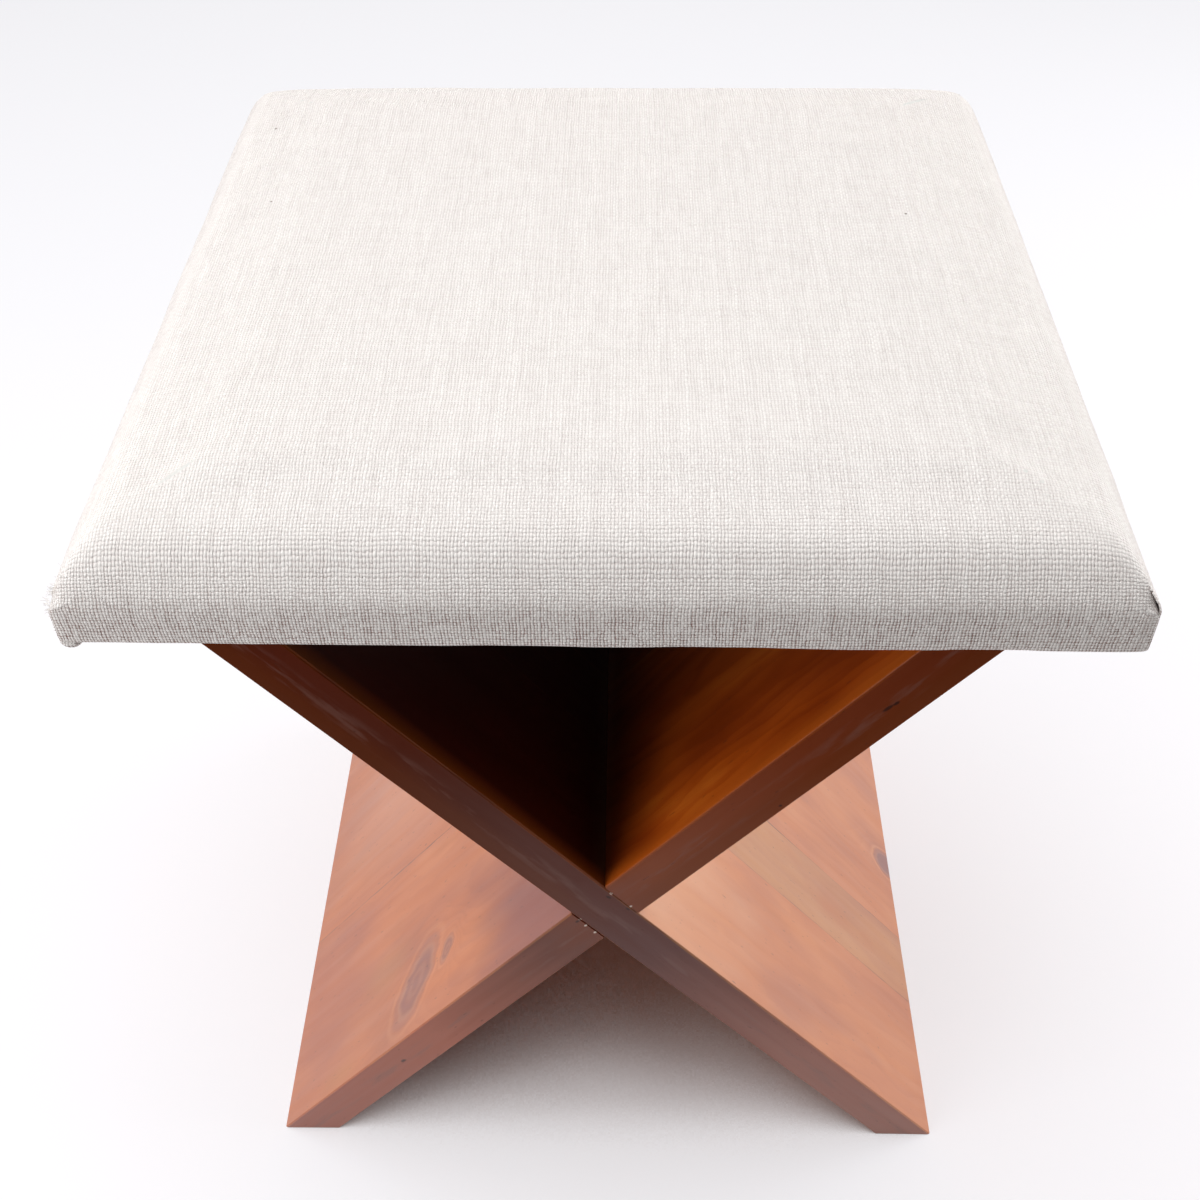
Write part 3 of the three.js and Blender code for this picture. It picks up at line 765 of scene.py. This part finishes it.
def plain_weave(name, light, shade, gap, husks):
    """Dull linen threads in relief, dark in the gaps. A husk is a speck (across, along, size) in mm."""
    material, tree = new_material(name)
    flat = add(tree, "ShaderNodeUVMap", uv_map=UV_MM)
    drift = add(
        tree,
        "ShaderNodeTexNoise",
        flat,
        sockets={"Scale": 1 / 12, "Detail": 4, "Roughness": 0.65},
        noise_dimensions="2D",
    )
    drift = add(tree, MATH, drift, drift_mm, -drift_mm / 2, operation="MULTIPLY_ADD")
    across, along = add(tree, "ShaderNodeSeparateXYZ", flat).node.outputs[:2]
    strands = []
    for over, threads in ((across, warp), (along, weft)):
        moved = add(tree, MATH, over, drift, operation="ADD")
        counted = add(tree, MATH, moved, 1 / threads[0], operation="MULTIPLY")
        number = add(tree, MATH, counted, operation="FLOOR")
        inside = add(tree, MATH, counted, number, operation="SUBTRACT")
        strands.append((counted, number, inside))

    rounds = []
    heights = []
    tones = []
    for side in (0, 1):
        counted, number, inside = strands[side]
        other_counted = strands[1 - side][0]
        length = (along, across)[side]
        thin, thick, stretch = (warp, weft)[side][1:]

        # Thick and thin places and slubs along this one thread
        slub_place = add(tree, MATH, length, 1 / stretch, operation="MULTIPLY")
        slub_place = add(tree, "ShaderNodeCombineXYZ", slub_place, number, side * 7.0)
        slub = add(tree, "ShaderNodeTexNoise", slub_place, sockets={"Scale": 1.7, "Detail": 2})
        strand_tone = add(tree, "ShaderNodeTexWhiteNoise", sockets={"W": number}, noise_dimensions="1D")
        crowded = add(tree, MATH, strand_tone, crowding, -0.5 - crowding / 2, operation="MULTIPLY_ADD")
        across_strand = add(tree, MATH, inside, crowded, operation="ADD")
        across_strand = add(tree, MATH, across_strand, operation="ABSOLUTE")
        half = add(tree, RANGE, slub, 0.3, 0.7, thin, thick)
        across_strand = add(tree, MATH, across_strand, half, operation="DIVIDE")
        across_strand = add(tree, MATH, across_strand, across_strand, operation="MULTIPLY")
        round_top = add(tree, MATH, 1.0, across_strand, operation="SUBTRACT")

        # Over and under the threads it crosses
        turn = add(tree, MATH, other_counted, number, operation="ADD")
        turn = add(tree, MATH, turn, math.pi, operation="MULTIPLY")
        turn = add(tree, MATH, turn, operation="SINE")
        lift = add(tree, MATH, turn, *((0.5, 0.15), (-0.5, 0.0))[side], operation="MULTIPLY_ADD")
        height = add(tree, MATH, round_top, lift, operation="ADD")
        rounds.append(round_top)
        heights.append(height)
        fine = add(tree, MATH, strand_tone, (0.3, 0.1)[side], slub, operation="MULTIPLY_ADD")
        tones.append(fine)

    relief = add(tree, MATH, heights[0], heights[1], operation="MAXIMUM")
    weft_up = add(tree, MATH, heights[1], heights[0], operation="GREATER_THAN")
    tone = add(tree, MIX, sockets={0: weft_up, 2: tones[0], 3: tones[1]}, out=0)
    tone = add(tree, RANGE, tone, 0.3, 0.95, 0.0, 1.0)
    colour = add(tree, MIX, sockets={0: tone, 6: linear(shade), 7: linear(light)}, **BLEND)
    low = add(tree, RANGE, relief, 0.3, 1.4, 1.0, 0.0)
    for round_top, dark in zip(rounds, (0.65, 0.4)):
        between = add(tree, RANGE, round_top, 0.0, 0.65, dark, 0.0)
        low = add(tree, MATH, low, between, operation="MAXIMUM")

    # No two crossings are pulled equally tight
    crossing = add(tree, "ShaderNodeCombineXYZ", strands[0][1], strands[1][1], 0.0)
    crossing = add(tree, "ShaderNodeTexWhiteNoise", crossing, noise_dimensions="2D")
    crossing = add(tree, RANGE, crossing, 0.0, 1.0, 0.4, 1.6)
    low = add(tree, MATH, low, crossing, operation="MULTIPLY", use_clamp=True)

    # The gaps are deep, so they show darkest on the upright faces, which the light from above only grazes
    facing = add(tree, "ShaderNodeNewGeometry", out=1)
    facing = add(tree, "ShaderNodeSeparateXYZ", facing, out=2)
    grazed = add(tree, RANGE, facing, 0.0, 0.8, 1.0, 0.2)
    low = add(tree, MATH, low, grazed, operation="MULTIPLY")
    colour = add(tree, MIX, sockets={0: low, 6: colour, 7: linear(gap)}, **BLEND)
    for at_across, at_along, size_mm in husks:
        off = add(tree, "ShaderNodeVectorMath", flat, (at_across, at_along, 0), out=1, operation="DISTANCE")
        husk = add(tree, RANGE, off, 0.4 * size_mm, 0.6 * size_mm, 0.8, 0.0)
        colour = add(tree, MIX, sockets={0: husk, 6: colour, 7: linear("6a5a48")}, **BLEND)
    fuzz = add(tree, "ShaderNodeTexNoise", flat, sockets={"Scale": 4, "Detail": 2}, noise_dimensions="2D")
    relief = add(tree, MATH, fuzz, 0.25, relief, operation="MULTIPLY_ADD")
    bump = add(tree, "ShaderNodeBump", sockets={"Strength": 0.8, "Distance": 0.45 * mm, "Height": relief})
    shader = add(
        tree,
        "ShaderNodeBsdfPrincipled",
        colour,
        sockets={"Roughness": 0.9, "Specular IOR Level": 0.2, "Normal": bump},
    )
    add(tree, "ShaderNodeOutputMaterial", shader)
    return material


husks = [(-160.6, 118.6, 1.3), (-149.2, 44.6, 1.0), (128.7, 29.5, 1.1)]
linen = plain_weave("plain_woven_linen", "fcf9f6", "f1ece9", "917169", husks)
cover.data.materials.append(linen)

# A lap: spare cloth folded to a soft edge behind the corner and laid along the side, thinning to the rear.
# The right front one reaches up over the foam's edge and gapes there; the others stop at the board.
lap_bottom = 26 * mm
lap_top = 4 * mm
lap_low = cover_low.z + 0.4 * mm
gape_up = 4 * mm
gape_spread = 2.5 * mm
gape_reach = 3 * mm
fold_round = 0.6 * mm
fold_reach = 2 * mm


def corner_lap(name, side, end, fold_back, lap_high, proud, gape, fold_mm):
    """A lap up to lap_high, its fold fold_back from the corner and gaping at the foam's edge."""
    shape = bmesh.new()
    flat = shape.loops.layers.uv.new(UV_MM)
    bmesh.ops.create_grid(shape, x_segments=12, y_segments=16, size=0.5)
    folded = {}
    for v in shape.verts:
        back, rise = v.co.x + 0.5, v.co.y + 0.5
        z = lap_low + rise * (lap_high - lap_low)
        lean = max(z - shoulder, 0) * roll_reach / roll_rise
        width = lap_bottom + (lap_top - lap_bottom) * rise
        y = half_depth - fold_back - lean - back * width
        stand = gape * math.exp(-(((z - shoulder - gape_up) / gape_spread) ** 2) - back * width / gape_reach)
        round_off = fold_round * math.exp(-back * width / fold_reach)
        x = half_width + proud - lean + stand - round_off
        folded[v.index] = 1 - 0.75 * back**0.6
        v.co = (side * x, end * y, z)
    if side * end > 0:
        bmesh.ops.reverse_faces(shape, faces=shape.faces)
    for face in shape.faces:
        face.smooth = True
        for loop in face.loops:
            loop[flat].uv = (loop.vert.co.z / mm, loop.vert.co.y / mm)
    piece = new_piece(name, shape)
    thick = piece.vertex_groups.new(name="folds")
    for number, share in folded.items():
        thick.add([number], share, "REPLACE")
    wall = piece.modifiers.new("two_layers", "SOLIDIFY")
    wall.thickness = fold_mm * mm
    wall.offset = 1
    wall.vertex_group = thick.name
    rounded = piece.modifiers.new("soft_fold", "SUBSURF")
    rounded.levels = rounded.render_levels = 1
    piece.data.materials.append(linen)
    piece.parent = cover
    return piece


gaping = (1.4 * mm, shoulder + 7 * mm, -0.5 * mm, 0.1 * mm, 0.7)
flush = (8 * mm, shoulder - 1 * mm, -0.2 * mm, 0, 0.7)
for side_name, side in (("left", -1), ("right", 1)):
    for end_name, end in (("front", -1), ("rear", 1)):
        laid = gaping if (side, end) == (1, -1) else flush
        corner_lap("corner_lap_" + end_name + "_" + side_name, side, end, *laid)

# A little spare cloth bunched under the left front corner
bunch_size = (4 * mm, 3 * mm, 2.2 * mm)
bunch_place = (-half_width + 3.8 * mm, -half_depth + 3.2 * mm, cover_low.z - 0.2 * mm)
crumple_size = 3 * mm
crumple = 0.4 * mm
shape = bmesh.new()
flat = shape.loops.layers.uv.new(UV_MM)
bmesh.ops.create_icosphere(shape, subdivisions=4, radius=1)
bmesh.ops.scale(shape, vec=bunch_size, verts=shape.verts)
for v in shape.verts:
    v.co += v.normal * noise.noise(v.co / crumple_size) * crumple
bmesh.ops.translate(shape, vec=bunch_place, verts=shape.verts)
for face in shape.faces:
    face.smooth = True
    for loop in face.loops:
        loop[flat].uv = (loop.vert.co.x / mm, (loop.vert.co.z + loop.vert.co.y) / mm)
bunched = new_piece("bunched_cloth", shape)
bunched.data.materials.append(linen)
bunched.parent = cover

# Loose fibres that stand off the cloth round the left front corner
loose_fibres = 70
fibre_radius = 0.07 * mm
fray = bpy.data.curves.new("frayed_threads", "CURVE")
fray.dimensions = "3D"
fray.bevel_depth = fibre_radius
fray.bevel_resolution = 1
fray.use_fill_caps = True
chance = random.Random(7)
for _ in range(loose_fibres):
    root_z = chance.triangular(lap_low + 3 * mm, shoulder + 9 * mm, shoulder + 2 * mm)
    lean = max(root_z - shoulder, 0) * roll_reach / roll_rise
    here = Vector((-half_width + 1 * mm + lean, -half_depth + chance.uniform(2, 5) * mm + lean, root_z))
    reach = chance.uniform(0.3, 0.8)
    step = Vector((-reach, -chance.uniform(-0.2, 0.4), chance.uniform(-0.4, 0.4))) * mm
    fibre = fray.splines.new("POLY")
    fibre.points.add(3)
    for point in fibre.points:
        point.co = (*here, 1)
        here = here + step
        step = step + Vector([chance.uniform(-0.3, 0.3) * mm for _ in range(3)])
curled = bpy.data.objects.new("curled_fibres", fray)
scene.collection.objects.link(curled)
bpy.context.view_layer.update()
spun = bpy.data.meshes.new_from_object(curled.evaluated_get(bpy.context.evaluated_depsgraph_get()))
bpy.data.objects.remove(curled)
threads = bpy.data.objects.new("frayed_threads", spun)
scene.collection.objects.link(threads)
threads.parent = cover

# Raw linen fibre, pale and dull
material, tree = new_material("raw_linen_fibre")
place = add(tree, "ShaderNodeTexCoord", out=3)
twist = add(tree, "ShaderNodeTexNoise", place, sockets={"Scale": 1 / (0.6 * mm), "Detail": 2})
colour = add(tree, MIX, sockets={0: twist, 6: linear("e6e1db"), 7: linear("f8f5f1")}, **BLEND)
shader = add(tree, "ShaderNodeBsdfPrincipled", colour, sockets={"Roughness": 0.9})
add(tree, "ShaderNodeOutputMaterial", shader)
spun.materials.clear()
spun.materials.append(material)

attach(cover, "root")
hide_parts("seat_cover")


# The dust cover
# A thin black non-woven cloth, stretched flat under the seat and stapled along its edge. It hides the
# cover's turned-under border.

dust_low, dust_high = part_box("dust_cover")
dust_width = dust_high.x - dust_low.x
dust_depth = dust_high.y - dust_low.y
shape = bmesh.new()
bmesh.ops.create_grid(shape, x_segments=60, y_segments=60, size=0.5)
bmesh.ops.scale(shape, vec=(dust_width, dust_depth, 1), verts=shape.verts)
bmesh.ops.translate(shape, vec=(0, 0, dust_high.z), verts=shape.verts)
for face in shape.faces:
    face.smooth = True
dust_cover = new_piece("dust_cover_cloth", shape)
wall = dust_cover.modifiers.new("cloth", "SOLIDIFY")
wall.thickness = dust_high.z - dust_low.z
wall.offset = -1
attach(dust_cover, "root")
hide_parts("dust_cover")

# Spun-bonded cloth: black fibres pressed together in rows of small dots, which catch a little light
material, tree = new_material("spunbonded_cambric")
place = add(tree, "ShaderNodeTexCoord", out=3)
dots = add(tree, "ShaderNodeTexVoronoi", place, sockets={"Scale": 1 / (1.5 * mm), "Randomness": 0.15})
fibre_scale = {"Scale": 1 / (2 * mm), "Detail": 6, "Distortion": 2}
fibres = add(tree, "ShaderNodeTexNoise", place, sockets=fibre_scale)
share = add(tree, MATH, dots, fibres, operation="MULTIPLY")
colour = add(tree, MIX, sockets={0: share, 6: linear("0d0d0e"), 7: linear("34343a")}, **BLEND)
bump = add(tree, "ShaderNodeBump", sockets={"Strength": 0.5, "Distance": 0.2 * mm, "Height": dots})
shader = add(tree, "ShaderNodeBsdfPrincipled", colour, sockets={"Roughness": 0.85, "Normal": bump})
add(tree, "ShaderNodeOutputMaterial", shader)
dust_cover.data.materials.append(material)


# The staples
# Flat-crown staples of galvanised steel wire, driven through the dust cover and the turned-under border into
# the board all round, with only their crowns showing.

crown = 10 * mm
wire_width = 0.9 * mm
wire_height = 0.5 * mm
wire_bevel = 0.15 * mm
staple_line = 4 * mm
staple_gap = 40 * mm
wire_z = dust_low.z - wire_height / 2
shape = bmesh.new()
for low, high, turned in ((dust_low.x, dust_high.x, False), (dust_low.y, dust_high.y, True)):
    for line in (low + staple_line, high - staple_line):
        for number in range(-4, 5):
            size = (wire_width, crown, wire_height)
            place = (line, number * staple_gap, wire_z)
            if turned:
                size = (crown, wire_width, wire_height)
                place = (number * staple_gap, line, wire_z)
            wire = bmesh.ops.create_cube(shape, size=1)["verts"]
            bmesh.ops.scale(shape, vec=size, verts=wire)
            bmesh.ops.translate(shape, vec=place, verts=wire)
bmesh.ops.bevel(
    shape, geom=shape.edges, offset=wire_bevel, affect="EDGES", segments=2, profile=0.5, material=-1
)
for face in shape.faces:
    face.smooth = True
staples = new_piece("dust_cover_staples", shape)
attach(staples, "root")

material, tree = new_material("galvanised_wire")
place = add(tree, "ShaderNodeTexCoord", out=3)
drawn = add(tree, "ShaderNodeTexNoise", place, sockets={"Scale": 1 / (0.4 * mm), "Detail": 3})
colour = add(tree, MIX, sockets={0: drawn, 6: linear("a9acae"), 7: linear("cfd2d3")}, **BLEND)
shader = add(
    tree,
    "ShaderNodeBsdfPrincipled",
    colour,
    sockets={"Metallic": 1.0, "Roughness": add(tree, RANGE, drawn, 0.3, 0.7, 0.28, 0.45)},
)
add(tree, "ShaderNodeOutputMaterial", shader)
staples.data.materials.append(material)


# The studio
# A white sweep under broad soft light from overhead and weaker light from both sides. The open floor is as
# bright as the picture's background.


def seen_directly(tree):
    """1 for the lens and for what mirrors or shines through, 0 for the light that falls on the stool."""
    path = add(tree, "ShaderNodeLightPath").node
    seen = add(tree, MATH, path.outputs["Is Camera Ray"], path.outputs["Is Glossy Ray"], operation="MAXIMUM")
    return add(tree, MATH, seen, path.outputs["Is Transmission Ray"], operation="MAXIMUM")


sweep_reach = 6
shape = bmesh.new()
bmesh.ops.create_grid(shape, x_segments=1, y_segments=1, size=sweep_reach)
studio_floor = new_piece("studio_floor", shape)

# The paper shows white to the lens and to what mirrors it, while its real grey sends little light back up
material, tree = new_material("matt_white_paper")
shown = seen_directly(tree)
paper = linear("d0d0d1")
# Painted shadow: the glow fades where the stool hides the sky, so the floor darkens under it
sky_seen = add(tree, "ShaderNodeAmbientOcclusion", sockets={"Distance": 0.3}, samples=8, out=1)
open_floor = add(tree, RANGE, sky_seen, 0.28, 0.53, 0.0, 0.53, **SMOOTH)
lift = add(tree, MATH, open_floor, shown, operation="MULTIPLY")

# Painted shade under the stool: to the lens the paper turns warm brown, standing for light off the wood
painted_shade_share = add(tree, RANGE, sky_seen, 0.12, 0.58, 1.0, 0.0)
in_the_open = (0.46, 0.455, 0.475, 1)
painted_shade_brown = (0.38, 0.25, 0.2, 1)
lifted = add(tree, MIX, sockets={0: painted_shade_share, 6: in_the_open, 7: painted_shade_brown}, **BLEND)
colour = add(tree, MIX, sockets={0: shown, 6: paper, 7: lifted}, **BLEND)
paper_shader = add(tree, "ShaderNodeBsdfDiffuse", colour)
glowing = add(tree, "ShaderNodeEmission", (0.965, 0.975, 1.0, 1), lift)
shader = add(tree, "ShaderNodeAddShader", paper_shader, glowing)
add(tree, "ShaderNodeOutputMaterial", shader)
studio_floor.data.materials.append(material)

sky = bpy.data.worlds.new("studio")
scene.world = sky
sky.use_nodes = True
tree = sky.node_tree
tree.nodes.clear()
seen = seen_directly(tree)

# The walls glow at the sides and the back, and are dim towards the front, where the studio is open
outlook = add(tree, "ShaderNodeTexCoord", out=0)
forward = add(tree, "ShaderNodeSeparateXYZ", outlook, out=1)
glow = add(tree, RANGE, forward, -0.7, 0.1, 0.05, 0.55, **SMOOTH)
strength = add(tree, MIX, sockets={0: seen, 2: glow, 3: 1.0})
hue = add(tree, MIX, sockets={0: seen, 6: (1, 0.96, 0.945, 1), 7: (1, 1, 1, 1)}, **BLEND)
background = add(tree, "ShaderNodeBackground", hue, strength)
add(tree, "ShaderNodeOutputWorld", background)


def softbox(name, place, aim, width, height, watts):
    light = bpy.data.lights.new(name, "AREA")
    light.shape = "RECTANGLE"
    light.size = width
    light.size_y = height
    light.energy = watts
    lamp = bpy.data.objects.new(name, light)
    lamp.location = place
    lamp.rotation_euler = (Vector(aim) - Vector(place)).to_track_quat("-Z", "Y").to_euler()
    scene.collection.objects.link(lamp)


softbox("overhead", (-0.5, 0.2, 2.6), (0, 0, 0.2), 2.4, 2.4, 43)
softbox("left_side", (-1.0, -0.75, 0.7), (0, 0, 0.3), 0.9, 0.8, 7)
softbox("right_side", (1.7, 0.3, 0.55), (0, 0, 0.15), 1.4, 0.8, 16.5)

scene.view_settings.view_transform = "Standard"
